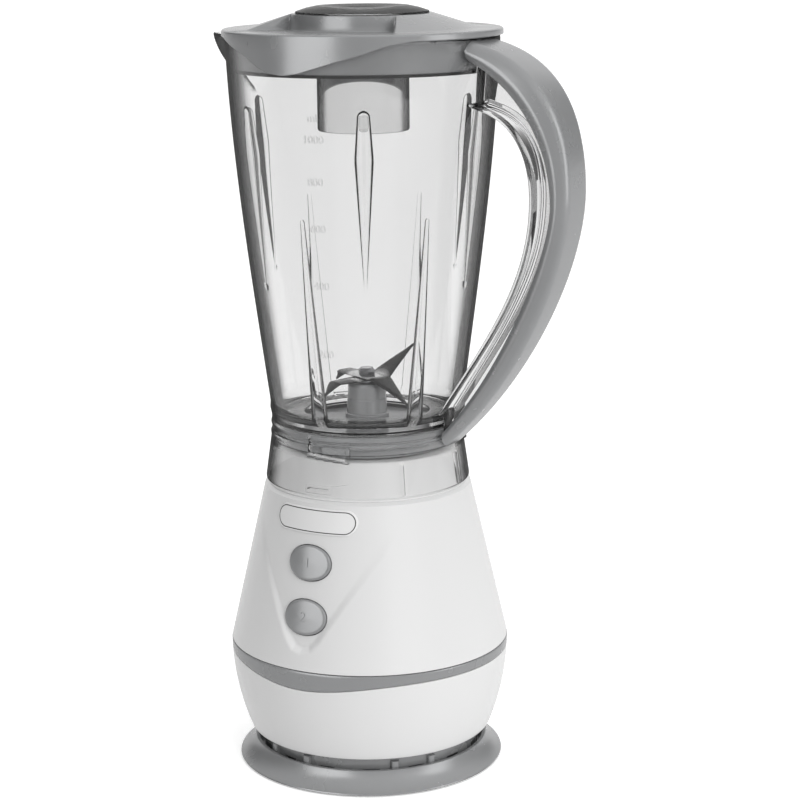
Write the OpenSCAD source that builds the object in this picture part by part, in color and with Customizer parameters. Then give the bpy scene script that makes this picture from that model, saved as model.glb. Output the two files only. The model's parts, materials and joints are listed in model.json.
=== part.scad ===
// Countertop blender: motor base with two push buttons, clear jug with handle, lid and measuring cap.
// Millimetres. +Z is up, the axis of the motor is x = y = 0 and the worktop is z = 0.
// The control panel faces -Y, the handle points to +X and the spout to -X.

/* [Base] */
// Largest radius of the base, where its two shells meet
base_r = 67.2; // [66.5:0.1:68]
// Radius of the upper shell at its top edge
base_top_r = 49.4; // [49:0.1:50]
// Outer radius of the flared foot
foot_r = 64.4; // [63:0.1:66]
// Height of the joint between the two shells
split_z = 60.8; // [60:0.1:61.5]
// Height of the trim band where it is plain
band_h = 4.8; // [4:0.1:6]
// How far the trim band dips under the control panel
band_dip = 4.7; // [0:0.1:6]
// Wall thickness of the base shells
shell_wall = 2.4; // [2:0.1:2.6]

/* [Controls] */
// Width of a button
button_w = 22; // [20:0.5:24]
// Height of a button along the panel
button_h = 16.6; // [15:0.2:18]
// Gap round a button
button_gap = 0.4; // [0.3:0.05:0.6]
// Heights of the two button centres
button_z = [110, 85];
// Travel of a button
button_travel = 2.2; // [1.5:0.1:2.5]
// Height of the badge's centre
badge_z = 129.4; // [128:0.2:131]
// Width of the badge
badge_w = 43; // [36:1:46]
// Height of the badge
badge_h = 11.7; // [10:0.1:12]

/* [Jug] */
// Height of the lower edge of the jug's skirt
skirt_z = 140.3; // [140.2:0.1:140.6]
// Height of the jug's rim
rim_z = 349.5; // [348:0.5:349.5]
// Wall thickness of the jug
jug_wall = 2.6; // [2.2:0.1:3]
// How far the spout's tip stands out from the axis
spout_reach = 83; // [76:1:86]
// Turn that takes the jug off its blade holder
bayonet_turn = 60; // [40:5:60]

/* [Handle] */
// Half the width of the handle cover at its top
grip_top = 17; // [15:0.5:18]
// Half the width of the handle cover at its foot
grip_foot = 11; // [10:0.5:12]
// Half the width of the clear handle core
core_half = 10; // [8:0.5:10.5]

/* [Lid] */
// Radius of the lid's flange
lid_r = 65.2; // [65:0.1:66]
// Radius of the cap's flange
cap_r = 31; // [29:0.5:32]
// Outer radius of the measuring cup
cup_r = 21.5; // [20:0.5:21.5]
// Height of the cup's lower end
cup_z = 306; // [300:1:320]

/* [Drive] */
// Radius of the motor shaft
shaft_r = 4; // [3.5:0.5:4]
// Radius of the blade shaft
spindle_r = 3; // [2.5:0.5:3]
// Running clearance of a shaft in its bearing
running_gap = 0.05; // [0.02:0.01:0.08]
// Outer radius of the stator
stator_r = 33; // [32:0.5:33]
// Number of teeth on the drive coupling
teeth = 6; // [5:1:7]
// Length of a blade from the axis to its tip
blade_reach = 26; // [24:0.5:28]

/* [Hidden] */
$fn = 96;

white = [0.92, 0.92, 0.91];
grey = [0.62, 0.63, 0.64];
clear = [0.85, 0.9, 0.92, 0.35];
smoke = [0.55, 0.57, 0.6, 0.5];
steel = [0.78, 0.79, 0.8];
iron = [0.45, 0.46, 0.48];
copper = [0.75, 0.45, 0.25];
black = [0.12, 0.12, 0.13];

// Base heights
plate_z = 4.2;
lip_z = 10.2;
shell_z = 16.5;
flange_t = 2.2;
lip_top = 63;
deck_z = 139.8;
boss_z = 156.6;
well_r = 24;
well_z = 137.6;
base_screw_r = 46;
shell_screw_r = 55;

// Screws of the shells, with their pilot holes, counterbores and bosses
screw_r = 1.4;
screw_head_r = 3.1;
pilot_r = 1.45;
through_r = 1.8;
counterbore_r = 3.4;
boss_r = 4;
pillar_r = 4.2;

// Mains inlet at the back
inlet_z = 30;
inlet_r = 6;
inlet_seat_r = 8.4;
inlet_seat_y = 61.4;
cord_hole_r = 3.4;

// Panel: its floor is a slimmer cone than the shell, so the recess is deepest at its tip
panel_tip_z = 68;
panel_top_z = 127;
panel_depth = 2;
shell_slope = (base_r - base_top_r) / (138 - split_z);
function shell_r(z) = base_r - shell_slope * (z - split_z);
panel_slope = (shell_r(panel_tip_z) - panel_depth - shell_r(panel_top_z)) / (panel_top_z - panel_tip_z);
function panel_r(z) = shell_r(panel_tip_z) - panel_depth - panel_slope * (z - panel_tip_z);
panel_tilt = atan(panel_slope);
panel_half = [[5, 69.3], [9.3, 74], [14.8, 83], [22, 95], [28, 105], [33, 114], [37, 124], [38, 128]];
cap_proud = 1.6;
cap_back = 4;
stem_r = 3;
module_face = 9;
stem_in = 5;
module_deep = 12;
module_z = (button_z[0] + button_z[1]) / 2;

// Jug heights
neck_z = 165;
neck_r = 45.5;
skirt_r = 49;
floor_z = 168.9;
floor_top = 172;
socket_r = 43.6;
socket_z = 157;
lug_r = 44.5;
lug_z = [160, 163];
lug_count = 3;
lug_wide = 16;

// Blade holder heights
holder_r = 43.2;
disc_z = 167;
tower_z = 186;
tower_r = 9;
bush_r = 5.5;
blade_t = 1.2;

// Motor heights
core_z = [60, 90];
core_r = 20.5;
yoke_r = 27.5;
bolt_r = 2;
bolt_x = 30;
mount_pcr = 19;
bearing_r = 9;

// Interlock
pin_y = 34;
pin_r = 2.5;
pin_top = 164;

// Curves
function bez(p, t) =
    pow(1 - t, 3) * p[0] + 3 * pow(1 - t, 2) * t * p[1] + 3 * (1 - t) * t * t * p[2] + pow(t, 3) * p[3];
function curve(p, n = 8) = [for (i = [0:n]) bez(p, i / n)];
function reversed(p) = [for (i = [len(p) - 1:-1:0]) p[i]];
function moved_in(p, d) = [for (q = p) [q[0] - d, q[1]]];
// A bow: out from its start to the widest point, where it runs upright, and back in to its end
function bow(start, lean_out, widest, up, down, lean_in, end, n = 10) = concat(
    curve([start, lean_out, widest + [0, up], widest], n),
    [for (q = curve([widest, widest - [0, down], lean_in, end], n)) if (q != widest) q]
);

bowl = curve([[58.5, shell_z], [62.5, 26], [base_r + 0.1, 42], [base_r + 0.1, split_z]], 10);
jug_side = curve([[46.2, 178], [52.8, 229.5], [61.8, 290], [63.8, rim_z]], 12);
function jug_r(z) = lookup(z, [for (q = jug_side) [q[1], q[0]]]);

handle_inner = bow([67.5, 317.5], [83.5, 312.5], [91.3, 279], 19.5, 36, [71.5, 217], [46.7, 179]);
handle_joint = bow([57.3, 339.8], [81, 332.5], [100.5, 276.5], 32.5, 23.5, [73.5, 198], [48.9, 172.4]);
handle_outer = bow([62, 348.6], [93, 342], [110, 282], 38, 32.5, [87.5, 200.5], [51.8, 165.7]);

module ring(r0, r1, z0, z1) {
    difference() {
        translate([0, 0, z0]) cylinder(r = r1, h = z1 - z0);
        translate([0, 0, z0 - 1]) cylinder(r = r0, h = z1 - z0 + 2);
    }
}

module disc(r, z0, z1) {
    translate([0, 0, z0]) cylinder(r = r, h = z1 - z0);
}

module cone(r0, z0, r1, z1) {
    translate([0, 0, z0]) cylinder(r1 = r0, r2 = r1, h = z1 - z0);
}

// A wedge of space about +X, half degrees each way
module wedge(half, reach, z0, z1) {
    corners = [for (i = [-4:4]) reach * [cos(half * i / 4), sin(half * i / 4)]];
    translate([0, 0, z0]) linear_extrude(z1 - z0) polygon(concat([[0, 0]], corners));
}

module around(count, start = 0) {
    for (i = [0:count - 1]) rotate([0, 0, start + i * 360 / count]) children();
}

module stadium(w, h) {
    square([w - h, h], center = true);
    for (side = [-1, 1]) translate([side * (w - h) / 2, 0]) circle(d = h);
}

// Places its children on the panel's floor at height z, with their +Z out of the panel
module on_panel(z, r) {
    translate([0, -r, z]) rotate([90 - panel_tilt, 0, 0]) children();
}

// ---- base ----
module anti_slip_ring() {
    color(black) ring(58, 61, 0, 2);
}

module bottom_cover() {
    flare = [[foot_r, 0.6], [foot_r, 1.4], [61.4, 3.4], [59.2, 5.8], [57.6, 8.2], [56.7, lip_z]];
    inside = [[55, lip_z], [55, 8.8], [56, 7.4], [56, plate_z], [0, plate_z], [0, 2], [61, 2], [61, 0.6]];
    color(grey) difference() {
        union() {
            rotate_extrude() polygon(concat(flare, inside));
            difference() {
                ring(50.5, 52.5, plate_z - 1, 16);
                around(15, 12) translate([45, -3, 8]) cube([12, 6, 10]);
            }
            around(15) translate([51.5, -2.5, plate_z - 1]) cube([3.4, 5, shell_z - plate_z + 1]);
            around(4, 45) translate([base_screw_r, 0, 0]) disc(boss_r, plate_z - 1, shell_z);
        }
        around(4, 45) translate([base_screw_r, 0, 0]) disc(through_r, 0, 20);
        around(4, 45) translate([base_screw_r, 0, 0]) disc(counterbore_r, 0, 6);
        around(12) translate([14, -2, 0]) cube([22, 4, 6]);
    }
}

// The space above the lower edge of the trim band
module above_band() {
    plain_z = split_z - band_h;
    spread = 21;
    edge = [for (a = [-90:6:90]) [
        (base_r + 2) * sin(a),
        plain_z - band_dip * exp(-a * a / (2 * spread * spread))
    ]];
    translate([-80, 0, plain_z]) cube([160, 80, 60]);
    rotate([90, 0, 0]) linear_extrude(80) polygon(concat(edge, [[80, plain_z], [80, 120], [-80, 120],
        [-80, plain_z]]));
}

module bowl_wall() {
    inside = reversed(moved_in(bowl, shell_wall));
    rotate_extrude() polygon(concat(bowl, inside));
}

module lower_shell() {
    color(white) difference() {
        union() {
            difference() {
                bowl_wall();
                above_band();
            }
            ring(40, 58.5, shell_z, shell_z + flange_t);
            ring(62.4, 64, 43, lip_top);
            around(4, 45) translate([base_screw_r, 0, 0]) disc(boss_r, shell_z, shell_z + 14);
            around(3, 60) translate([shell_screw_r, 0, 0]) disc(pillar_r, shell_z, split_z);
        }
        around(4, 45) translate([base_screw_r, 0, 0]) disc(pilot_r, shell_z - 1, shell_z + 12.5);
        around(3, 60) translate([shell_screw_r, 0, 0]) disc(counterbore_r, shell_z - 1, shell_z + 33);
        around(3, 60) translate([shell_screw_r, 0, 0]) disc(through_r, shell_z - 1, split_z + 1);
        translate([0, 0, inlet_z]) rotate([-90, 0, 0]) disc(inlet_r, 50, 70);
        translate([0, 0, inlet_z]) rotate([-90, 0, 0]) disc(inlet_seat_r, inlet_seat_y, 72);
    }
}

module trim_band() {
    color(grey) intersection() {
        bowl_wall();
        above_band();
    }
}

module panel_prism() {
    left = [for (q = reversed(panel_half)) [-q[0], q[1]]];
    translate([0, -30, 0]) rotate([90, 0, 0]) linear_extrude(50)
        polygon(concat([[0, panel_tip_z]], panel_half, left));
}

module upper_shell() {
    outer = [[base_r, split_z], [base_top_r, 138], [48.9, 139.4], [46, deck_z], [43.2, 155.6], [42.2, boss_z]];
    well = [[well_r, boss_z], [well_r, well_z], [6, well_z], [6, 135], [26.4, 135], [26.4, 154.2]];
    inner = [[41.2, 154.2], [43.8, 137.2], [base_top_r - shell_wall, 137], [base_r - shell_wall, split_z]];
    color(white) difference() {
        union() {
            rotate_extrude() polygon(concat(outer, well, inner));
            // thicker behind the panel
            intersection() {
                panel_prism();
                difference() {
                    cone(shell_r(64) - 1, 64, shell_r(130) - 1, 130);
                    cone(panel_r(62) - 2.2, 62, panel_r(132) - 2.2, 132);
                }
            }
            // bosses for the screws from the lower shell
            intersection() {
                around(3, 60) {
                    translate([shell_screw_r, 0, 0]) disc(pillar_r, split_z, split_z + 14);
                    translate([shell_screw_r, -1.5, lip_top + 0.3]) cube([10, 3, 11.5]);
                }
                cone(base_r - 1, split_z, shell_r(90) - 1, 90);
            }
            around(4, 45) translate([mount_pcr, 0, 0]) disc(boss_r, 122, 135.5);
            for (side = [-1, 1]) translate([side * 5 - 1.5, 25.4, 129]) cube([3, 2.6, 12]);
            // posts that carry the switch module
            on_panel(module_z, panel_r(module_z)) for (side = [-1, 1])
                translate([side * 17, 0, -module_face]) cylinder(r = 3, h = 6);
        }
        difference() {
            panel_prism();
            cone(panel_r(60), 60, panel_r(135), 135);
        }
        for (z = button_z) on_panel(z, panel_r(z)) translate([0, 0, -8]) linear_extrude(20)
            stadium(button_w + 2 * button_gap, button_h + 2 * button_gap);
        on_panel(module_z, panel_r(module_z)) for (side = [-1, 1])
            translate([side * 17, 0, -module_face - 1]) cylinder(r = 1.25, h = 5);
        around(3, 60) translate([shell_screw_r, 0, 0]) disc(pilot_r, split_z - 1, split_z + 12);
        around(4, 45) translate([mount_pcr, 0, 121]) cylinder(r = 1.55, h = 11);
        translate([0, pin_y, 150]) cylinder(r = pin_r + 0.4, h = 10);
    }
}

module badge() {
    proud = 0.5;
    color(grey) intersection() {
        translate([0, -30, badge_z]) rotate([90, 0, 0]) linear_extrude(40) stadium(badge_w, badge_h);
        difference() {
            cone(shell_r(120) + proud, 120, shell_r(137.5) + proud, 137.5);
            cone(shell_r(119), 119, shell_r(138.5), 138.5);
        }
    }
}

module cord_inlet() {
    color(black) translate([0, 0, inlet_z]) rotate([-90, 0, 0]) difference() {
        union() {
            cone(inlet_seat_r - 0.2, inlet_seat_y, 7, inlet_seat_y + 4.2);
            disc(inlet_r - 0.1, 56, 62);
            disc(7.4, 54, 56.6);
        }
        disc(cord_hole_r, 50, 70);
    }
}

module base_screws() {
    color(steel) around(4, 45) translate([base_screw_r, 0, 0]) {
        disc(screw_head_r, 3.6, 6);
        disc(screw_r, 5.5, 28);
    }
}

module shell_screws() {
    color(steel) around(3, 60) translate([shell_screw_r, 0, 0]) {
        disc(screw_head_r, 47, 49.5);
        disc(screw_r, 49, 71);
    }
}

// ---- motor ----
module stator_core() {
    color(iron) difference() {
        union() {
            ring(yoke_r, stator_r, core_z[0], core_z[1]);
            for (side = [90, 270]) rotate([0, 0, side]) intersection() {
                ring(core_r, yoke_r + 1, core_z[0], core_z[1]);
                wedge(50, 50, core_z[0] - 1, core_z[1] + 1);
            }
        }
        for (side = [-1, 1]) translate([side * bolt_x, 0, 50]) cylinder(r = bolt_r + 0.1, h = 50);
    }
}

// Each coil is a frame wound round one pole
module field_coils() {
    color(copper) for (side = [90, 270]) rotate([0, 0, side]) difference() {
        intersection() {
            ring(core_r + 1, yoke_r - 0.2, core_z[0] - 8, core_z[1] + 8);
            wedge(66, 50, core_z[0] - 9, core_z[1] + 9);
        }
        wedge(51, 60, core_z[0] - 0.3, core_z[1] + 0.3);
    }
}

module bracket_leg(z0, z1) {
    for (side = [-1, 1]) translate([side * bolt_x - 2.8, -5, z0]) cube([5.6, 10, z1 - z0]);
}

module upper_bracket() {
    color(iron) difference() {
        union() {
            disc(26, 117.5, 119.5);
            disc(12, 111, 118);
            translate([-32.8, -5, 117.5]) cube([65.6, 10, 2]);
            bracket_leg(core_z[1], 119.5);
        }
        disc(bearing_r, 110, 119);
        disc(shaft_r + 1, 110, 125);
        for (side = [-1, 1]) translate([side * bolt_x, 0, 80]) cylinder(r = bolt_r + 0.1, h = 50);
        around(4, 45) translate([mount_pcr, 0, 110]) cylinder(r = 1.8, h = 20);
    }
}

module lower_bracket() {
    color(iron) difference() {
        union() {
            translate([-32.8, -5, 28]) cube([65.6, 10, 2.5]);
            translate([-6, -29, 28]) cube([12, 58, 2.5]);
            disc(12, 28, 36);
            bracket_leg(28, core_z[0]);
        }
        disc(bearing_r, 29, 40);
        disc(shaft_r + 1, 20, 40);
        for (side = [-1, 1]) translate([side * bolt_x, 0, 20]) cylinder(r = bolt_r + 0.1, h = 50);
    }
}

module upper_bearing() {
    color(steel) ring(shaft_r + running_gap, bearing_r, 112, 119);
}

module lower_bearing() {
    color(steel) ring(shaft_r + running_gap, bearing_r, 29, 36);
}

module brush_holders() {
    color(black) for (side = [0, 180]) rotate([0, 0, side]) difference() {
        translate([-5, 13, 30.5]) cube([10, 16, 19]);
        translate([-3.1, 10, 40.9]) cube([6.2, 17, 6.2]);
    }
}

module carbon_brushes() {
    color(black) for (side = [0, 180]) rotate([0, 0, side]) translate([-3, 10.4, 41]) cube([6, 14, 6]);
}

module motor_bolts() {
    color(steel) for (side = [-1, 1]) translate([side * bolt_x, 0, 0]) {
        disc(3.4, 25.6, 28);
        disc(bolt_r, 27, 123);
        translate([0, 0, 119.5]) cylinder(r = 3.8, h = 2.8, $fn = 6);
    }
}

module motor_mounts() {
    color(black) around(4, 45) translate([mount_pcr, 0, 0]) ring(1.8, 5, 119.5, 122);
}

module motor_screws() {
    color(steel) around(4, 45) translate([mount_pcr, 0, 0]) {
        disc(3.2, 115.1, 117.5);
        disc(1.5, 117, 131);
    }
}

module switch_module() {
    color(black) on_panel(module_z, panel_r(module_z)) difference() {
        union() {
            translate([-13, -22, -module_face - module_deep]) cube([26, 44, module_deep]);
            translate([-20, -4, -module_face - 3]) cube([40, 8, 3]);
        }
        for (side = [-1, 1]) translate([side * 17, 0, -20]) cylinder(r = 1.5, h = 20);
        for (side = [-1, 1]) {
            reach = side * (button_z[0] - button_z[1]) / 2 / cos(panel_tilt);
            deepest = -module_face - stem_in - button_travel - 1;
            translate([0, reach, 0]) disc(stem_r + 0.1, deepest, deepest + 20);
        }
    }
}

module switch_screws() {
    color(steel) on_panel(module_z, panel_r(module_z)) for (side = [-1, 1]) translate([side * 17, 0, 0]) {
        disc(2.6, -module_face - 5, -module_face - 3);
        disc(1.2, -module_face - 3.5, -module_face + 3.5);
    }
}

module interlock_switch() {
    color(black) difference() {
        translate([-7, 28, 128]) cube([14, 12, 15.4]);
        translate([0, pin_y, 133]) cylinder(r = pin_r + 0.2, h = 20);
    }
}

module interlock_spring() {
    color(steel) translate([0, pin_y, 0]) ring(pin_r + 0.4, 3.9, 143.4, 151.8);
}

// ---- rotor ----
module motor_shaft() {
    color(steel) disc(shaft_r, 27, 146);
}

module armature_core() {
    color(iron) difference() {
        ring(shaft_r, core_r - 0.5, core_z[0], core_z[1]);
        around(12) translate([16, -1, core_z[0] - 1]) cube([6, 2, 40]);
    }
}

module armature_windings() {
    color(copper) {
        ring(shaft_r, 17, core_z[1], core_z[1] + 7);
        ring(shaft_r, 17, core_z[0] - 8, core_z[0]);
    }
}

module commutator() {
    color(copper) difference() {
        ring(shaft_r, 10, 39, 51);
        around(12) translate([9, -0.3, 38]) cube([2, 0.6, 14]);
    }
}

module cooling_fan() {
    color(black) {
        ring(shaft_r, 24, 100.5, 102);
        ring(shaft_r, 8, 101, 109);
        around(9) translate([7, -0.8, 101.5]) cube([16.5, 1.6, 7.5]);
    }
}

module slinger() {
    color(black) ring(shaft_r, 9, 138, 139.4);
}

module star(core, tooth, at, z0, z1) {
    disc(core, z0, z1);
    around(teeth) translate([at, 0, 0]) disc(tooth, z0, z1);
}

module drive_coupling() {
    color(black) difference() {
        union() {
            disc(14.5, 139.6, 142);
            star(9, 2.5, 10.5, 141, 151.8);
        }
        disc(shaft_r, 130, 146);
    }
}

// ---- controls that move ----
module button(z) {
    color(grey) union() {
        intersection() {
            on_panel(z, panel_r(z)) translate([0, 0, -cap_back]) linear_extrude(12)
                stadium(button_w, button_h);
            cone(panel_r(50) + cap_proud, 50, panel_r(135) + cap_proud, 135);
        }
        on_panel(z, panel_r(z)) disc(stem_r, -module_face - stem_in, -cap_back + 1);
    }
}

module button_spring(z) {
    color(steel) on_panel(z, panel_r(z)) ring(stem_r + 0.4, 4.6, -module_face, -cap_back);
}

module button_1() { button(button_z[0]); }
module button_2() { button(button_z[1]); }
module button_spring_1() { button_spring(button_z[0]); }
module button_spring_2() { button_spring(button_z[1]); }

module interlock_pin() {
    color(black) translate([0, pin_y, 0]) {
        disc(pin_r, 137, pin_top);
        disc(4.2, 151.8, 153.8);
    }
}

// ---- blade unit ----
module blade_holder() {
    skirt = [[39.6, 164.4], [39.6, 157.4], [holder_r, 157.4], [holder_r, 167.6], [40.6, 167.6], [40.6, disc_z]];
    tower = [[10.4, disc_z], [10.4, 171], [9.6, 171], [tower_r, 185.4], [8.4, tower_z], [bush_r, tower_z]];
    color(grey) union() {
        rotate_extrude() polygon(concat([[bush_r, 156.2], [9, 156.2], [9, 164.4]], skirt, tower));
        around(lug_count, 40) intersection() {
            ring(holder_r - 1, lug_r, lug_z[0], lug_z[1]);
            wedge(lug_wide / 2, 60, 150, 170);
        }
    }
}

module holder_gasket() {
    color(black) ring(31, 38.5, disc_z, floor_z);
}

module blade_bush() {
    color(copper) ring(spindle_r + running_gap, bush_r, 158, 182.5);
}

module shaft_seal() {
    color(black) ring(spindle_r + running_gap, bush_r, 182.5, tower_z);
}

module blade_shaft() {
    color(steel) disc(spindle_r, 152.4, 193);
}

module spindle_washer() {
    color(steel) ring(spindle_r, 5.5, tower_z + 0.3, 187.4);
}

// A blade arm: a strip that tilts about its root line and narrows to a tip, shifted sideways by lean
module blade_arm(root_x, root_w, lean, long, tilt, t) {
    half = root_w / 2;
    tip = 0.6;
    translate([root_x, 0, 0]) rotate([0, -tilt, 0]) linear_extrude(t)
        polygon([[-0.6, -half], [long * 0.4, lean * 0.3 - half * 0.72], [long, lean - tip],
            [long, lean + tip], [long * 0.4, lean * 0.3 + half * 0.72], [-0.6, half]]);
}

// Its wide arm bends down, and so does the short tip opposite
module upper_blade() {
    bend = -34;
    color(steel) translate([0, 0, 188.6]) rotate([0, 0, -21.5]) difference() {
        union() {
            linear_extrude(blade_t) polygon([[-18, -5], [11, -6.5], [11, 6.5], [-18, 5]]);
            blade_arm(11, 11, 2.5, (blade_reach - 11) / cos(bend), bend, blade_t);
            rotate([0, 0, 180]) blade_arm(17.5, 9, 1.5, (blade_reach - 17.5) / cos(bend), bend, blade_t);
        }
        disc(spindle_r, -2, 4);
    }
}

// Its wide arm bends up, and the short tip opposite bends down
module lower_blade() {
    rise = 38;
    color(steel) translate([0, 0, 187.4]) rotate([0, 0, 68.5]) difference() {
        union() {
            linear_extrude(blade_t) polygon([[-20, -4.5], [9, -7], [9, 7], [-20, 4.5]]);
            blade_arm(9, 13, 3, (blade_reach - 9) / cos(rise), rise, blade_t);
            rotate([0, 0, 180]) blade_arm(19.5, 8, 1.5, (blade_reach - 19.5) / cos(rise), -rise, blade_t);
        }
        disc(spindle_r, -2, 4);
    }
}

module blade_nut() {
    color(steel) difference() {
        translate([0, 0, 189.8]) cylinder(r = 5, h = 2.6, $fn = 6);
        disc(spindle_r, 180, 200);
    }
}

module driven_coupling() {
    slack = 0.4;
    color(black) difference() {
        disc(17, 145.4, 155.6);
        star(9 + slack, 2.5 + slack, 10.5, 140, 152.4);
        disc(spindle_r, 150, 160);
    }
}

// ---- jug ----
// The space inside the jug above its floor
module jug_cavity(grow = 0) {
    side = [for (q = jug_side) [q[0] - jug_wall + grow, q[1]]];
    foot = [[0, floor_top - grow], [40 + grow, floor_top - grow], [42.6 + grow, 174.5]];
    rotate_extrude() polygon(concat(foot, side, [[61.2 + grow, 360], [0, 360]]));
}

// A rib on the inside of the wall; outline gives its radius at each height
module rib(az, outline) {
    low = outline[0][1];
    high = outline[len(outline) - 1][1];
    x0 = jug_r(max(low, 178)) - jug_wall + 1.5;
    x1 = jug_r(high) - jug_wall + 1.5;
    rotate([0, 0, az]) translate([x0, 0, low]) rotate([0, atan2(x1 - x0, high - low), 0])
        rotate_extrude() polygon(concat([[0, 0]], [for (q = outline) [q[0], q[1] - low]], [[0, high - low]]));
}

module jug_ribs() {
    around(6) rib(0, [[1.6, 238], [4.3, 298], [3, 320]]);
    around(6) rib(30, [[4.2, floor_top - 1], [1.6, 270]]);
}

module handle_core() {
    inner_flange = concat([[60.8, 319.5]], handle_inner, [[45, 176]],
        reversed(moved_in(handle_inner, -4)), [[60.8, 324]]);
    web = concat([[60.8, 321]], handle_inner, [[44, 176], [44, 172.4]], reversed(handle_joint));
    rotate([90, 0, 0]) {
        translate([0, 0, -core_half]) linear_extrude(2 * core_half) polygon(inner_flange);
        translate([0, 0, -2.5]) linear_extrude(5) polygon(web);
    }
}

module spout(inset) {
    top = rim_z + 2 * inset;
    tip = spout_reach - inset * 2.4;
    half = 40 - inset * 1.4;
    low = 322 + inset * 3;
    polyhedron(
        points = [[-tip, 0, top], [-44, half, top], [-44, -half, top], [-54, 0, low]],
        faces = [[0, 1, 2], [0, 3, 1], [0, 2, 3], [1, 3, 2]]
    );
}

module jug() {
    outer = concat([[skirt_r, skirt_z], [neck_r, neck_z], [45.7, 172]], jug_side);
    groove_r = lug_r + 0.4;
    groove = [[socket_r, lug_z[1] + 0.3], [groove_r, lug_z[1] + 0.3], [groove_r, lug_z[0] - 0.3],
        [socket_r, lug_z[0] - 0.3]];
    inner = concat([[0, rim_z], [0, floor_z], [socket_r, floor_z]], groove,
        [[socket_r, socket_z], [skirt_r - 2.3, skirt_z]]);
    color(clear) difference() {
        union() {
            difference() {
                union() {
                    rotate_extrude() polygon(concat(outer, inner));
                    handle_core();
                    spout(0);
                }
                jug_cavity();
                spout(1.8);
                disc(30, 160, 180);
            }
            intersection() {
                jug_ribs();
                jug_cavity(0.5);
            }
        }
        // the slots that the lugs of the blade holder enter by
        around(lug_count, 40 - bayonet_turn) intersection() {
            ring(socket_r - 1, lug_r + 0.3, skirt_z - 1, lug_z[1]);
            wedge(lug_wide / 2 + 1.2, 60, 130, 170);
        }
    }
}

// The space that the jug's wall fills, grown by a gap
module jug_space(gap) {
    foot = [[0, skirt_z - 1], [skirt_r + gap, skirt_z - 1], [neck_r + gap, neck_z], [45.7 + gap, 172]];
    side = [for (q = jug_side) [q[0] + gap, q[1]]];
    rotate_extrude() polygon(concat(foot, side, [[63.8 + gap, rim_z + 5], [0, rim_z + 5]]));
}

module handle_cover() {
    outside = concat([[62, 341]], handle_joint_cover(), [[47.6, 170.4], [47.6, 166]], reversed(handle_outer),
        [[62, 348.6]]);
    cover_wall = 2.4;
    hollow = concat([for (q = handle_joint_cover()) q + [-1, 0]],
        reversed([for (q = handle_outer) q - [cover_wall, 0]]));
    foot = handle_outer[len(handle_outer) - 1][1];
    color(grey) difference() {
        intersection() {
            rotate([90, 0, 0]) translate([0, 0, -30]) linear_extrude(60) polygon(outside);
            grip_profile(foot, 0);
        }
        intersection() {
            rotate([90, 0, 0]) translate([0, 0, -30]) linear_extrude(60) polygon(hollow);
            grip_profile(foot + 8, cover_wall);
            translate([30, -30, foot + 8]) cube([100, 60, 168]);
        }
        jug_space(0.15);
    }
}

// The cover's inner edge, clear of the jug's wall and of the core's web
function handle_joint_cover() = [for (q = handle_joint) if (q[0] > 63.9 || q[1] < 200) q + [0.3, 0.1]];

// The handle's width: widest at the top, tapering to its foot
module grip_profile(foot, inset) {
    widths = [[grip_top, 350], [grip_top, 336], [14, 300], [13, 240], [grip_foot, foot]];
    right = [for (q = widths) [q[0] - inset, q[1]]];
    left = [for (q = reversed(widths)) [inset - q[0], q[1]]];
    rotate([90, 0, 90]) linear_extrude(130) polygon(concat(right, left));
}

// ---- lid ----
// Lower edge of the lid's outer skirt, the same in front and behind
skirt_edge = [[-47, 349.3], [-24.5, 342], [-20.5, 339.3], [-12.5, 336], [-4, 335], [4, 336], [13.5, 338.8],
    [22.5, 341.6], [31.5, 344.2], [41, 348], [48.5, 349.4]];

module lid() {
    scoop = [[29, 15.5], [38, 38], [50, 60], [-50, 60], [-38, 38], [-29, 15.5]];
    color(grey) difference() {
        union() {
            difference() {
                union() {
                    disc(lid_r, 350, 353);
                    cone(54, 353, 33, 359.6);
                }
                for (side = [0, 180]) rotate([0, 0, side]) translate([0, 0, 352.6])
                    linear_extrude(10) polygon(scoop);
            }
            disc(33, 350, 359.6);
            ring(57, 59.3, 334, 351);
            intersection() {
                ring(64.1, lid_r, 330, 351);
                translate([0, 80, 0]) rotate([90, 0, 0]) linear_extrude(160)
                    polygon(concat(skirt_edge, [[48.5, 351], [-47, 351]]));
            }
        }
        disc(cup_r + 0.7, 340, 370);
        // hollow under the collar
        ring(cup_r + 3, 30.5, 340, 357);
    }
}

module lid_seal() {
    color(black) ring(59.3, 60, 334, 335.4);
}

module measuring_cap() {
    // the cup opens downwards, and its closed top is a shallow dish inside a raised rim
    cup = [[19.7, cup_z], [cup_r - 0.3, cup_z], [cup_r, cup_z + 1], [cup_r, 359.7], [cap_r, 359.7]];
    crown = [[cap_r, 360.6], [26.5, 362.1], [22, 363], [20, 363.2], [18, 363], [12, 362.2], [0, 362]];
    ceiling = [[0, 360.2], [18.7, 360.2], [19.7, 359.2]];
    color(smoke) rotate_extrude() polygon(concat(cup, crown, ceiling));
}

anti_slip_ring();
bottom_cover();
lower_shell();
trim_band();
upper_shell();
badge();
cord_inlet();
base_screws();
shell_screws();
stator_core();
field_coils();
upper_bracket();
lower_bracket();
upper_bearing();
lower_bearing();
brush_holders();
carbon_brushes();
motor_bolts();
motor_mounts();
motor_screws();
switch_module();
switch_screws();
interlock_switch();
button_spring_1();
button_spring_2();
interlock_spring();
motor_shaft();
armature_core();
armature_windings();
commutator();
cooling_fan();
drive_coupling();
slinger();
button_1();
button_2();
interlock_pin();
blade_holder();
holder_gasket();
blade_bush();
shaft_seal();
blade_shaft();
spindle_washer();
lower_blade();
upper_blade();
blade_nut();
driven_coupling();
jug();
handle_cover();
lid();
lid_seal();
measuring_cap();
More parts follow.
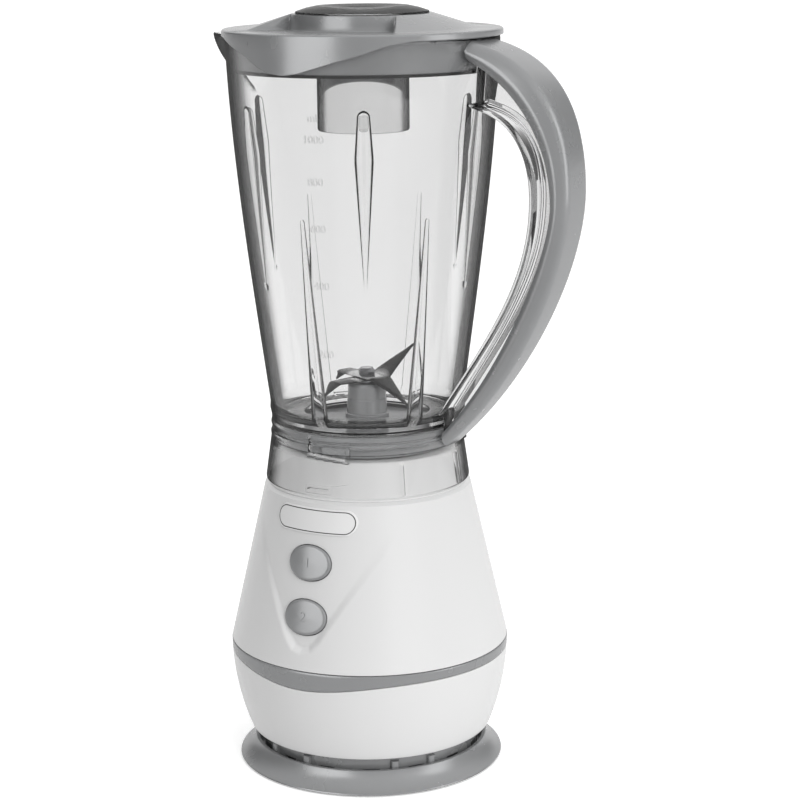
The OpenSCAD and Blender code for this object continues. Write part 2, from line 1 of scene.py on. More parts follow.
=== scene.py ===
"""Countertop blender: the looks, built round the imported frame.

Lengths are millimetres up to make(), which turns them into metres. +Z is up, the panel faces -Y, the
handle points to +X and the spout to -X.
"""

import json
import math

import bmesh
import bpy
import numpy as np
from mathutils import Matrix, Vector

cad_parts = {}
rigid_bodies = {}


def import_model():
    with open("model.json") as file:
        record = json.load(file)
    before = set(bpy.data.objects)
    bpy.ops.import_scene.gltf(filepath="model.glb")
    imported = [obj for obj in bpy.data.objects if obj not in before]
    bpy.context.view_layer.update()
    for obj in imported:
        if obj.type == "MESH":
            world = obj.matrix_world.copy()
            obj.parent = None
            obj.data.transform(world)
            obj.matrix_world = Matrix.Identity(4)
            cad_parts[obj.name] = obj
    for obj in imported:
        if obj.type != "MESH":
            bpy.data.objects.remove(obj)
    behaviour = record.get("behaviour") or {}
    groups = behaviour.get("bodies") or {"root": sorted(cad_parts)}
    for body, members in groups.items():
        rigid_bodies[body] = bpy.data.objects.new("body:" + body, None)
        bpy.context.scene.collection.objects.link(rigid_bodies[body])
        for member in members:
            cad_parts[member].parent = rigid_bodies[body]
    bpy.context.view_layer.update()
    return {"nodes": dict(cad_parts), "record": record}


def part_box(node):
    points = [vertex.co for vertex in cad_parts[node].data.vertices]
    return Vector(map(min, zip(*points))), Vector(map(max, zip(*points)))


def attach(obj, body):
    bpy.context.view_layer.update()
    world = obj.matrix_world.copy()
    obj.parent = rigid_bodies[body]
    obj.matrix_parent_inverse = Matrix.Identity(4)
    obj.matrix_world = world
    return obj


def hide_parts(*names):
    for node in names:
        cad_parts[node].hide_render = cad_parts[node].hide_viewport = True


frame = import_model()
MM = 0.001


def lowest(node):
    return np.array(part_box(node)[0]) / MM


def highest(node):
    return np.array(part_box(node)[1]) / MM


# ---- sizes from the frame ----
foot_r = highest("bottom_cover")[0]
lip_z = 10.2
bowl_z = lowest("lower_shell")[2]
base_r = highest("upper_shell")[0]
split_z = lowest("upper_shell")[2]
boss_z = highest("upper_shell")[2]
skirt_z = lowest("jug")[2]
rim_z = highest("jug")[2]
spout_r = -lowest("jug")[0]
holder_z = highest("blade_holder")[2]
lid_r = highest("lid")[0]
collar_z = highest("lid")[2]
cap_r = highest("measuring_cap")[0]
cap_z = highest("measuring_cap")[2]
cup_z = lowest("measuring_cap")[2]
badge_z = (lowest("badge")[2] + highest("badge")[2]) / 2
button_nodes = ("button_1", "button_2")
button_z = (110, 85)


# ---- materials ----
def map_range(tree, value, start, end, low, high, smooth=False):
    """A value that goes from low to high as another goes from start to end."""
    node = tree.nodes.new("ShaderNodeMapRange")
    if smooth:
        node.interpolation_type = "SMOOTHSTEP"
    for key, number in (("From Min", start), ("From Max", end), ("To Min", low), ("To Max", high)):
        node.inputs[key].default_value = number
    tree.links.new(value, node.inputs["Value"])
    return node.outputs["Result"]


def combined(tree, operation, *values):
    """The result of a Math node on one or two values."""
    node = tree.nodes.new("ShaderNodeMath")
    node.operation = operation
    for value, socket in zip(values, node.inputs):
        tree.links.new(value, socket)
    return node.outputs["Value"]


def along_direction(tree, vector, direction):
    """How far a vector reaches in a direction."""
    node = tree.nodes.new("ShaderNodeVectorMath")
    node.operation = "DOT_PRODUCT"
    node.inputs[1].default_value = direction
    tree.links.new(vector, node.inputs[0])
    return node.outputs["Value"]


def shader(name, colour, roughness, **sockets):
    """A Principled material. Colour, roughness and relief vary with noise; sockets are uniform values."""
    material = bpy.data.materials.new(name)
    material.use_nodes = True
    tree = material.node_tree
    principled = tree.nodes["Principled BSDF"]
    vary = sockets.pop("vary", 0.03)
    rough_vary = sockets.pop("rough_vary", 0.05)
    grain = sockets.pop("grain", 900)
    relief = sockets.pop("relief", 0.02)
    stretch = sockets.pop("stretch", (1, 1, 1))
    for key, value in sockets.items():
        principled.inputs[key].default_value = value
    place = tree.nodes.new("ShaderNodeTexCoord")
    scale = tree.nodes.new("ShaderNodeMapping")
    scale.inputs["Scale"].default_value = stretch
    tree.links.new(place.outputs["Object"], scale.inputs["Vector"])

    def noise(size, detail):
        node = tree.nodes.new("ShaderNodeTexNoise")
        node.inputs["Scale"].default_value = size
        node.inputs["Detail"].default_value = detail
        tree.links.new(scale.outputs["Vector"], node.inputs["Vector"])
        return node.outputs["Fac"]

    shade = tree.nodes.new("ShaderNodeValToRGB")
    low = [c * (1 - vary) for c in colour]
    high = [min(1.0, c * (1 + vary)) for c in colour]
    shade.color_ramp.elements[0].position = 0.3
    shade.color_ramp.elements[0].color = (*low, 1)
    shade.color_ramp.elements[1].position = 0.7
    shade.color_ramp.elements[1].color = (*high, 1)
    tree.links.new(noise(24, 3), shade.inputs["Fac"])
    tree.links.new(shade.outputs["Color"], principled.inputs["Base Color"])
    gloss = map_range(tree, noise(60, 4), 0, 1, max(0.0, roughness - rough_vary), roughness + rough_vary)
    tree.links.new(gloss, principled.inputs["Roughness"])
    if relief:
        bump = tree.nodes.new("ShaderNodeBump")
        bump.inputs["Strength"].default_value = relief
        bump.inputs["Distance"].default_value = 0.0005
        tree.links.new(noise(grain, 5), bump.inputs["Height"])
        tree.links.new(bump.outputs["Normal"], principled.inputs["Normal"])
    return material


def grey(value):
    return (value, value, value)


def clear(name, tone, edge, density, inside=0.8, level=0.0):
    """Clear plastic, with painted shade on its edges. Where an upright face is seen at a grazing angle, the
    share edge of it is painted near-black, standing in for the dark surroundings seen through the edge;
    inside and level are how much of that holds from within and on level faces. Density takes up light
    inside. Lamp light and soft light pass straight through, so that what is behind it stays lit."""
    material = shader(name, grey(tone), 0.004, vary=0.004, rough_vary=0.003, relief=0)
    tree = material.node_tree
    principled = tree.nodes["Principled BSDF"]
    principled.inputs["Transmission Weight"].default_value = 1.0
    principled.inputs["IOR"].default_value = 1.49
    output = tree.nodes["Material Output"]

    facing = tree.nodes.new("ShaderNodeLayerWeight")
    facing.inputs["Blend"].default_value = 0.5

    def grazing(start, end, share):
        """0 where a face is seen squarely, share where it is seen past the end angle."""
        return map_range(tree, facing.outputs["Facing"], start, end, 0, share, smooth=True)

    geometry = tree.nodes.new("ShaderNodeNewGeometry")
    axes = tree.nodes.new("ShaderNodeSeparateXYZ")
    tree.links.new(geometry.outputs["Normal"], axes.inputs["Vector"])
    upright = map_range(tree, combined(tree, "ABSOLUTE", axes.outputs["Z"]), 0.7, 0.95, 1, level)
    side = tree.nodes.new("ShaderNodeMix")
    tree.links.new(geometry.outputs["Backfacing"], side.inputs["Factor"])
    tree.links.new(grazing(0.46, 0.76, edge), side.inputs["A"])
    tree.links.new(grazing(0.2, 0.44, inside * edge), side.inputs["B"])
    share = combined(tree, "MULTIPLY", side.outputs["Result"], upright)
    # painted shade: a near-black diffuse mixed in where the clear plastic is seen at a grazing angle
    dark = tree.nodes.new("ShaderNodeBsdfDiffuse")
    dark.inputs["Color"].default_value = (*grey(0.03), 1)
    through = tree.nodes.new("ShaderNodeBsdfTransparent")
    through.inputs["Color"].default_value = (*grey(tone), 1)
    ray = tree.nodes.new("ShaderNodeLightPath")
    surface = principled.outputs["BSDF"]
    for factor, other in (
        (share, dark),
        (ray.outputs["Is Shadow Ray"], through),
        (ray.outputs["Is Diffuse Ray"], through),
    ):
        either = tree.nodes.new("ShaderNodeMixShader")
        tree.links.new(factor, either.inputs["Fac"])
        tree.links.new(surface, either.inputs[1])
        tree.links.new(other.outputs["BSDF"], either.inputs[2])
        surface = either.outputs["Shader"]
    tree.links.new(surface, output.inputs["Surface"])

    volume = tree.nodes.new("ShaderNodeVolumeAbsorption")
    volume.inputs["Color"].default_value = (0.5, 0.5, 0.5, 1)
    volume.inputs["Density"].default_value = density
    tree.links.new(volume.outputs["Volume"], output.inputs["Volume"])
    return material


materials = {
    "white_plastic": shader(
        "white_plastic", grey(0.71), 0.26, vary=0.001, rough_vary=0.01, relief=0.006, grain=700,
    ),
    "grey_plastic": shader(
        "grey_plastic", (0.268, 0.272, 0.276), 0.26, vary=0.015, relief=0.03, grain=1600, Metallic=0.2
    ),
    "badge_plastic": shader("badge_plastic", grey(0.78), 0.2, vary=0.001, rough_vary=0.01),
    # the clear plastics' third value is the share of painted shade on their grazing edges
    "clear_plastic": clear("clear_plastic", 0.99, 0.92, 24),
    "smoke_plastic": clear("smoke_plastic", 0.93, 0.9, 70, level=0.7),
    "black_plastic": shader("black_plastic", grey(0.03), 0.45, vary=0.1, relief=0.1),
    "rubber": shader("rubber", grey(0.035), 0.7, vary=0.15, relief=0.2),
    "stainless_steel": shader(
        "stainless_steel", (0.36, 0.36, 0.37), 0.2, Metallic=1.0, stretch=(1, 14, 1), grain=500,
        relief=0.08, rough_vary=0.06,
    ),
    "ground_steel": shader(
        "ground_steel", grey(0.55), 0.28, Metallic=1.0, stretch=(1, 1, 20), grain=400, relief=0.1,
    ),
    "zinc_steel": shader("zinc_steel", (0.6, 0.6, 0.58), 0.4, Metallic=1.0, vary=0.12, rough_vary=0.1),
    "spring_steel": shader("spring_steel", grey(0.42), 0.3, Metallic=1.0, stretch=(1, 1, 30), relief=0.15),
    "lamination_steel": shader(
        "lamination_steel", grey(0.28), 0.5, Metallic=0.9, stretch=(1, 1, 60), grain=60, relief=0.5,
    ),
    "copper_wire": shader(
        "copper_wire", (0.6, 0.27, 0.12), 0.3, Metallic=0.9, stretch=(1, 1, 25), grain=90, relief=0.5,
    ),
    "copper_bar": shader("copper_bar", (0.7, 0.36, 0.2), 0.3, Metallic=1.0, stretch=(1, 1, 12), relief=0.1),
    "bearing_bronze": shader("bearing_bronze", (0.55, 0.36, 0.16), 0.4, Metallic=1.0, vary=0.08),
    "carbon": shader("carbon", grey(0.03), 0.5, vary=0.2, relief=0.15),
}
for part in frame["record"]["subparts"]:
    mesh = frame["nodes"][part["node"]].data
    if not mesh.materials:
        mesh.materials.append(None)
    for i in range(len(mesh.materials)):
        mesh.materials[i] = materials[part["material_slot"]]
# the handle core's clear plastic also has painted shade on its grazing edges, with hardly any from within
core_plastic = clear("core_plastic", 0.99, 0.8, 12, inside=0.05)
frame["nodes"]["lid_seal"].data.materials[0] = shader("seal_rubber", grey(0.02), 0.5, vary=0.05, relief=0.05)


blade_t, blade_reach = 1.2, 25.8
hub_share, arm_share = 0.34, 0.44


def blade_steel_with_painted_arms():
    """Polished round the hub, and painted shade on the arms, which begin at these shares of the reach: the
    arms are near-black and not metallic, standing in for the dark surroundings that the tilted arms reflect.
    """
    brushed = {"stretch": (1, 14, 1), "grain": 500, "relief": 0.08, "rough_vary": 0.06}
    material = shader("blade_steel_with_painted_arms", grey(0.5), 0.2, **brushed)
    tree = material.node_tree
    sockets = tree.nodes["Principled BSDF"].inputs
    sockets["Specular IOR Level"].default_value = 0.3
    place = tree.nodes.new("ShaderNodeTexCoord")
    flat = tree.nodes.new("ShaderNodeVectorMath")
    flat.operation = "MULTIPLY"
    flat.inputs[1].default_value = (1, 1, 0)
    tree.links.new(place.outputs["Object"], flat.inputs[0])
    length = tree.nodes.new("ShaderNodeVectorMath")
    length.operation = "LENGTH"
    tree.links.new(flat.outputs["Vector"], length.inputs[0])
    reach = map_range(tree, length.outputs["Value"], 0, blade_reach * MM, 0, 1)
    # painted shade: the ramp runs from polished steel at the hub to near-black on the arms
    ramp = tree.nodes.new("ShaderNodeValToRGB")
    for element, position, tone in zip(ramp.color_ramp.elements, (hub_share, arm_share), (0.5, 0.025)):
        element.position, element.color = position, (*grey(tone), 1)
    tree.links.new(reach, ramp.inputs["Fac"])
    tree.links.new(ramp.outputs["Color"], sockets["Base Color"])
    tree.links.new(map_range(tree, reach, arm_share, hub_share, 0, 1), sockets["Metallic"])
    return material


# ---- mesh tools ----
def make(name, vertices, faces, slot, body, nodes=(), crease=35):
    """A closed piece that rides on a body, takes its finish from a slot and replaces nodes."""
    bm = bmesh.new()
    points = [bm.verts.new(Vector(v) * MM) for v in np.asarray(vertices, float)]
    for face in faces:
        try:
            bm.faces.new([points[i] for i in face])
        except ValueError:
            continue
    bmesh.ops.remove_doubles(bm, verts=bm.verts, dist=2e-7)
    bmesh.ops.dissolve_degenerate(bm, edges=bm.edges, dist=1e-7)
    bmesh.ops.recalc_face_normals(bm, faces=bm.faces)
    mesh = bpy.data.meshes.new(name)
    bm.to_mesh(mesh)
    bm.free()
    piece = bpy.data.objects.new(name, mesh)
    bpy.context.scene.collection.objects.link(piece)
    finish_mesh(piece, crease)
    mesh.materials.append(materials[slot])
    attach(piece, body)
    if nodes:
        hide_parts(*nodes)
    return piece


def finish_mesh(piece, crease):
    piece.data.shade_smooth()
    piece.data.set_sharp_from_angle(angle=math.radians(crease))


def grid(points, wrap_rows=True, caps=False):
    """Vertices and quads of points[row, column]. Columns wrap round, and rows too unless they are capped."""
    rows, columns = points.shape[:2]
    index = np.arange(rows * columns).reshape(rows, columns)
    down = np.roll(index, -1, axis=0) if wrap_rows else index[1:]
    here = index if wrap_rows else index[:-1]
    corners = [here, np.roll(here, -1, axis=1), np.roll(down, -1, axis=1), down]
    faces = np.stack(corners, axis=-1).reshape(-1, 4).tolist()
    if caps:
        faces += [index[0].tolist()[::-1], index[-1].tolist()]
    return points.reshape(-1, 3), faces


def joined(*parts):
    """Several (vertices, faces) as one."""
    vertices, faces, start = [], [], 0
    for v, f in parts:
        vertices.append(np.asarray(v, float))
        faces += [[i + start for i in face] for face in f]
        start += len(v)
    return np.vstack(vertices), faces


def cut(piece, *cutters, crease=35):
    """Takes the cutters, each (vertices, faces), out of the piece."""
    for i, (vertices, faces) in enumerate(cutters):
        tool = bpy.data.meshes.new(f"cutter_{i}")
        tool.from_pydata([Vector(v) * MM for v in vertices], [], faces)
        bm = bmesh.new()
        bm.from_mesh(tool)
        bmesh.ops.recalc_face_normals(bm, faces=bm.faces)
        bm.to_mesh(tool)
        bm.free()
        held = bpy.data.objects.new(tool.name, tool)
        bpy.context.scene.collection.objects.link(held)
        modifier = piece.modifiers.new("cut", "BOOLEAN")
        modifier.operation = "DIFFERENCE"
        modifier.solver = "EXACT"
        modifier.object = held
        bpy.context.view_layer.update()
        whole = bpy.data.meshes.new_from_object(piece.evaluated_get(bpy.context.evaluated_depsgraph_get()))
        piece.modifiers.clear()
        piece.data = whole
        bpy.data.objects.remove(held)
    finish_mesh(piece, crease)


def rounded(corners, arc_step=15, steps=None):
    """A closed outline through (x, y) or (x, y, radius) corners, rounded in steps or by arc_step degrees."""
    outline = []
    count = len(corners)
    for i, corner in enumerate(corners):
        here = np.array(corner[:2], float)
        before = np.array(corners[i - 1][:2], float) - here
        after = np.array(corners[(i + 1) % count][:2], float) - here
        radius = corner[2] if len(corner) > 2 else 0
        reach = min(np.linalg.norm(before), np.linalg.norm(after))
        if not radius or reach < 1e-9:
            outline.append(here)
            continue
        before, after = before / np.linalg.norm(before), after / np.linalg.norm(after)
        turn = math.pi - math.acos(float(np.clip(before @ after, -1, 1)))
        if turn < 0.03:
            outline.append(here)
            continue
        back = min(radius * math.tan(turn / 2), 0.48 * reach)
        radius = back / math.tan(turn / 2)
        middle = before + after
        centre = here + middle / np.linalg.norm(middle) * radius / math.cos(turn / 2)
        start, end = here + before * back - centre, here + after * back - centre
        parts = steps or max(2, math.ceil(math.degrees(turn) / arc_step))
        for k in range(parts + 1):
            w = k / parts
            swung = math.sin((1 - w) * turn) * start + math.sin(w * turn) * end
            outline.append(centre + swung / math.sin(turn))
    return np.array(outline)


def bezier(points, count):
    t = np.linspace(0, 1, count + 1)[:, None]
    p = np.array(points, float)
    return (1 - t) ** 3 * p[0] + 3 * (1 - t) ** 2 * t * p[1] + 3 * (1 - t) * t**2 * p[2] + t**3 * p[3]


def smoothstep(x):
    x = np.clip(x, 0, 1)
    return x * x * (3 - 2 * x)


def soft_max(a, b, blend):
    """The larger of a and b, rounded over where they cross."""
    h = np.clip(blend - np.abs(a - b), 0, None) / blend
    return np.maximum(a, b) + h * h * blend / 4


def turned(outline, count=192, centre=(0, 0)):
    """Vertices and faces of a closed (radius, height) outline turned round the Z axis."""
    angle = np.linspace(0, 2 * math.pi, count, endpoint=False)
    outline = np.asarray(outline, float)
    points = np.empty((count, len(outline), 3))
    points[..., 0] = centre[0] + np.cos(angle)[:, None] * outline[:, 0]
    points[..., 1] = centre[1] + np.sin(angle)[:, None] * outline[:, 0]
    points[..., 2] = outline[:, 1]
    return grid(points)


def prism(outline, low, high):
    """A closed (x, y) outline pushed up from low to high."""
    outline = np.asarray(outline, float)
    rows = [np.column_stack([outline, np.full(len(outline), z)]) for z in (low, high)]
    return grid(np.array(rows), wrap_rows=False, caps=True)


def moved(part, matrix):
    vertices, faces = part
    m = np.array(matrix)
    return np.asarray(vertices) @ m[:3, :3].T + m[:3, 3], faces


def turn_about_z(part, degrees):
    return moved(part, Matrix.Rotation(math.radians(degrees), 4, "Z"))


def stadium(width, height, arc_steps=24, side_steps=16):
    """An oval with straight long sides, closed, with points along the sides too so that it can be wrapped."""
    half = (width - height) / 2
    angle = np.linspace(-math.pi / 2, math.pi / 2, arc_steps + 1)
    right = np.column_stack([half + height / 2 * np.cos(angle), height / 2 * np.sin(angle)])
    side = np.linspace(half, -half, side_steps + 1)[1:-1]
    top = np.column_stack([side, np.full(len(side), height / 2)])
    return np.vstack([right, top, -right, -top])


def oval(width, height, count=96, fullness=2.08):
    """A closed oval, a little fuller than an ellipse."""
    angle = np.linspace(0, 2 * math.pi, count, endpoint=False)
    full = (np.abs(np.cos(angle)) ** fullness + np.abs(np.sin(angle)) ** fullness) ** (-1 / fullness)
    return np.column_stack([width / 2 * full * np.cos(angle), height / 2 * full * np.sin(angle)])


# ---- motor base ----
shell_wall = 2.4
band_low, band_dip, band_spread = 4.8, 4.7, 21
base_top_r, deck_z = 49.4, 138
slope = (base_r - base_top_r) / (deck_z - split_z)
panel_tip_z, panel_top_z, panel_depth = 68, 127, 2.0


def shell_r(z):
    return base_r - slope * (z - split_z)


def panel_r(z):
    return shell_r(z) - panel_depth * (panel_top_z - z) / (panel_top_z - panel_tip_z)


panel_tilt = math.atan((panel_r(panel_tip_z) - panel_r(panel_top_z)) / (panel_top_z - panel_tip_z))


def on_panel(z, radius):
    """Places local X to the right, Y up along the panel and Z out of it, at height z."""
    return Matrix.Translation((0, -radius, z)) @ Matrix.Rotation(math.pi / 2 - panel_tilt, 4, "X")


# Foot: a flared ring with a lip, and the slotted wall and pegs of the vent groove above it
flare = bezier([(foot_r - 0.2, 1.5), (60.6, 3.5), (58, 6.8), (56.9, lip_z - 0.3)], 14)
foot_back = rounded([
    (56.9, lip_z, 0.3), (55.2, lip_z, 0.3), (55, 8.8), (56, 7.4, 0.5), (56, 4.2), (52.5, 4.2),
    (52.5, 16, 0.3), (50.5, 16, 0.3), (50.5, 4.2), (0, 4.2), (0, 2), (61, 2), (61, 0.6),
])
foot_edge = [(foot_r - 0.8, 0.6), (foot_r - 0.2, 0.7), (foot_r, 1.0)]
foot_ring = turned(np.vstack([foot_edge, flare, foot_back]), 240)
foot = make("foot", *foot_ring, "grey_plastic", "base", ["bottom_cover"])
slot_outline = rounded([(14, -2, 1.9), (36, -2, 1.9), (36, 2, 1.9), (14, 2, 1.9)])
window_outline = [(47, -4), (54, -4), (54, 4), (47, 4)]
window_top = lip_z - 0.8
peg_angles = (-28, -48, -95, -119, 152, 132, 85, 61)
cut(
    foot,
    joined(*[turn_about_z(prism(slot_outline, 0, 6), 30 * i) for i in range(12)]),
    joined(*[turn_about_z(prism(window_outline, 4.6, window_top), 24 * i + 12) for i in range(15)]),
)
peg = rounded([(51.5, -1.9, 0.1), (54.8, -1.9, 1.2), (54.8, 1.9, 1.2), (51.5, 1.9, 0.1)])
pegs = [turn_about_z(prism(peg, 3.4, 13.4), angle) for angle in peg_angles]
make("vent_pegs", *joined(*pegs), "grey_plastic", "base")

# Lower bowl and trim band: one curved wall, parted along a line that dips under the panel
bowl_curve = bezier([(58.5, bowl_z), (62.5, 26), (base_r + 0.1, 42), (base_r + 0.1, split_z)], 120)
around = np.radians(np.linspace(0, 360, 288, endpoint=False))
from_panel = np.degrees((around + math.pi / 2 + math.pi) % (2 * math.pi) - math.pi)
band_edge = split_z - band_low - band_dip * np.exp(-(from_panel**2) / (2 * band_spread**2))
part_line = 0.12


def bowl_r(z):
    return np.interp(z, bowl_curve[:, 1], bowl_curve[:, 0])


def wall_between(low, high, count, edge=0.35):
    """Loop of (radius, height) at each azimuth for a wall along the bowl, with eased edges."""
    t = np.linspace(0, 1, count)
    z = low[:, None] + edge + (high - low - 2 * edge)[:, None] * t
    r = bowl_r(z)
    top_r, low_r = bowl_r(high), bowl_r(low)
    over = [(top_r - 0.1, high - 0.1), (top_r - edge, high), (top_r - shell_wall, high)]
    under = [(low_r - shell_wall, low), (low_r - edge, low), (low_r - 0.1, low + 0.1)]
    inside = (r[:, ::-1] - shell_wall, z[:, ::-1])
    columns_r = [r] + [np.stack([p[0] for p in over], 1), inside[0], np.stack([p[0] for p in under], 1)]
    columns_z = [z] + [np.stack([p[1] for p in over], 1), inside[1], np.stack([p[1] for p in under], 1)]
    return np.hstack(columns_r), np.hstack(columns_z)


def around_axis(r, z, angle=None):
    """Vertices and faces of a ring whose outline is r, z at each azimuth."""
    angle = around if angle is None else angle
    angle = angle if np.ndim(angle) == 2 else angle[:, None]
    return grid(np.stack([r * np.cos(angle), r * np.sin(angle), z], axis=-1))


bowl = wall_between(np.full(len(around), bowl_z), band_edge - part_line, 34, 0.5)
floor_outline = [(40, bowl_z, 0.3), (57.6, bowl_z), (57.6, bowl_z + 2.2), (40, bowl_z + 2.2, 0.3)]
bowl_floor = turned(rounded(floor_outline), 144)
lip = turned(rounded([(62.4, 43, 0.3), (64, 43, 0.3), (64, 63, 0.4), (62.4, 63, 0.4)]), 192)
lower = make("lower_bowl", *around_axis(*bowl), "white_plastic", "base", ["lower_shell"])
along_y = Matrix.Rotation(-math.pi / 2, 4, "X")
inlet_z = 30


def at_inlet(part):
    return moved(part, Matrix.Translation((0, 0, inlet_z)) @ along_y)


cut(
    lower,
    at_inlet(turned([(0, 50), (6, 50), (6, 80), (0, 80)], 64)),
    at_inlet(turned([(0, 61.4), (8.4, 61.4), (8.4, 80), (0, 80)], 64)),
)
make("bowl_frame", *joined(bowl_floor, lip), "white_plastic", "base")
band = wall_between(band_edge + part_line, np.full(len(around), split_z - 0.25), 8, 0.25)
make("band", *around_axis(*band), "grey_plastic", "base", ["trim_band"])
bush = rounded([
    (3.4, 54, 0.4), (7.4, 54, 0.5), (7.4, 56.6), (5.9, 56.6), (5.9, 61.4), (8.2, 61.4, 0.4), (7.6, 63.2, 0.3),
    (7.2, 63.2, 0.2), (7.1, 65.6, 0.8), (3.4, 65.6, 0.6),
])
make("inlet_bush", *at_inlet(turned(bush, 64)), "black_plastic", "base", ["cord_inlet"])

# Upper body: a cone with a shield-shaped recess that is deepest at its tip, and the boss under the jug
shield = np.array([
    (0, 68), (5, 69.3), (9.3, 74), (14.8, 83), (22, 95), (28, 105), (33, 114), (37, 124), (38, 128),
])
shield_z = np.linspace(panel_tip_z, 128, 90)
shield_line = np.column_stack([np.interp(shield_z, shield[:, 1], shield[:, 0]), shield_z])
recess_wall = 3.8


def inside_shield(x, z):
    """Distance into the shield outline, negative outside it."""
    x = np.abs(x)
    a, b = shield_line[:-1], shield_line[1:]
    point = np.stack([x, z], axis=-1)[..., None, :]
    along = np.clip(((point - a) * (b - a)).sum(-1) / ((b - a) ** 2).sum(-1), 0, 1)[..., None]
    distance = np.linalg.norm(point - (a + along * (b - a)), axis=-1).min(-1)
    within = (z > panel_tip_z) & (x < np.interp(z, shield_line[:, 1], shield_line[:, 0]))
    return np.where(within, distance, -distance)


front_half = 46
front = np.radians(np.linspace(-90 - front_half, -90 + front_half, 231))
behind = np.radians(np.linspace(-90 + front_half, 270 - front_half, 112)[1:-1])
body_angle = np.concatenate([front, behind])
shell_z = np.concatenate([
    [split_z + 0.6, 63, 65, 67], np.arange(67.6, 128.5, 0.55), [130, 132, 134, 136, 137.2],
])
angle_grid, z_grid = np.meshgrid(body_angle, shell_z, indexing="ij")
plain = shell_r(z_grid)
in_front = np.sin(angle_grid) < -0.5
depth = smoothstep((inside_shield(plain * np.cos(angle_grid), z_grid) + 0.3) / recess_wall) * in_front
shell = plain - depth * (plain - np.minimum(panel_r(z_grid), plain))
lower_edge = [(base_r - 0.5, split_z + 0.1), (base_r - 0.12, split_z + 0.22)]
crown = rounded([
    (48.95, 138.9, 0.8), (46.1, 139.9, 0.6), (43.2, boss_z - 0.2, 1.2), (24, boss_z, 0.8),
    (24, 137.6, 0.5), (6, 137.6, 0.3), (6, 135, 0.3), (26.4, 135), (26.4, 154.2), (41.2, 154.2),
    (43.4, 137.2),
])
inner_z = shell_z[::-8]
rings = len(body_angle)


def same_all_round(outline):
    outline = np.asarray(outline)
    return np.tile(outline[:, 0], (rings, 1)), np.tile(outline[:, 1], (rings, 1))


edge_r, edge_z = same_all_round(lower_edge)
crown_r, crown_z = same_all_round(crown)
inner_r = shell[:, ::-8] - shell_wall
body_r = np.hstack([edge_r, shell, crown_r, inner_r, np.full((rings, 1), base_r - shell_wall)])
inner_rows = np.tile(inner_z, (rings, 1))
body_z = np.hstack([edge_z, z_grid, crown_z, inner_rows, np.full((rings, 1), split_z + 0.1)])
upper = make("upper_body", *around_axis(body_r, body_z, body_angle), "white_plastic", "base", ["upper_shell"])
button_w, button_h, button_gap = 22, 16.6, 0.4
pin_y = 34
button_hole = prism(oval(button_w + 2 * button_gap, button_h + 2 * button_gap), -8, 12)
cut(
    upper,
    *[moved(button_hole, on_panel(z, panel_r(z))) for z in button_z],
    turned([(0, 150), (2.9, 150), (2.9, 160), (0, 160)], 32, (0, pin_y)),
)


def nested(outline, width, height, levels):
    """Points of nested rings, each inset from the outline and raised: levels are (inset, height)."""
    rings = []
    for inset, rise in levels:
        ring = outline(max(width - 2 * inset, 1e-6), max(height - 2 * inset, 1e-6))
        rings.append(np.column_stack([ring, np.full(len(ring), rise)]))
    return np.array(rings)


# Badge: a blank oval plate with a thin dark line round it
def on_shell(points, lift=0.0):
    """Wraps (x, height, proud) points round the cone of the body at the badge's height."""
    z = badge_z + points[..., 1]
    r = shell_r(z) + points[..., 2] + lift
    return np.stack([points[..., 0], -np.sqrt(r**2 - points[..., 0] ** 2), z], axis=-1)


badge_w, badge_h = 2 * highest("badge")[0], highest("badge")[2] - lowest("badge")[2]
half = badge_h / 2
plate_levels = [(half, -0.1), (0, -0.1), (0, 0.22), (0.18, 0.42), (0.5, 0.45), (2, 0.45), (half, 0.45)]
plate = nested(stadium, badge_w, badge_h, plate_levels)
make("badge_plate", *grid(on_shell(plate), wrap_rows=False), "badge_plastic", "base", ["badge"])
line = nested(stadium, badge_w, badge_h, [(0.75, 0.4), (0.75, 0.49), (1.15, 0.49), (1.15, 0.4)])
make("badge_line", *grid(on_shell(line)), "black_plastic", "base")


# Buttons: domed, with a bevel round the face and a sunk number
def digits(text, size, depth):
    """A solid of generic figures, centred, in the XY plane, from -depth to depth."""
    curve = bpy.data.curves.new("figures", "FONT")
    curve.body, curve.size, curve.extrude = text, size, depth
    curve.align_x, curve.align_y, curve.resolution_u = "CENTER", "CENTER", 6
    held = bpy.data.objects.new("figures", curve)
    bpy.context.scene.collection.objects.link(held)
    bpy.context.view_layer.update()
    mesh = bpy.data.meshes.new_from_object(held.evaluated_get(bpy.context.evaluated_depsgraph_get()))
    bpy.data.objects.remove(held)
    return np.array([v.co for v in mesh.vertices]), [list(p.vertices) for p in mesh.polygons]


button_levels = [
    (button_h / 2, -4), (0.4, -4), (0, -3.6), (0, 0.7), (0.15, 1.0), (0.5, 1.25), (1.0, 1.4),
    (1.25, 1.42),
]
button_levels += [(i, 1.42 + 0.03 * (i - 1.25)) for i in (1.6, 2.4, 3.4, 4.6, 6, 7.2, button_h / 2)]
for node, z in zip(button_nodes, button_z):
    face = nested(oval, button_w, button_h, button_levels)
    face[..., 2] -= np.where(face[..., 2] > -3, face[..., 0] ** 2 / (2 * panel_r(z)), 0)
    stem = turned([(0, -14), (2.7, -14), (3, -13.7), (3, -3.9), (0, -3.9)], 48)
    place = on_panel(z, panel_r(z))
    cap = make(node + "_cap", *moved(grid(face, wrap_rows=False), place), "grey_plastic", node, [node])
    figure, figure_faces = digits(node[-1], 6.5, 1)
    cut(cap, moved((figure + [0, 0, 2.3], figure_faces), place))
    make(node + "_stem", *moved(stem, place), "grey_plastic", node)

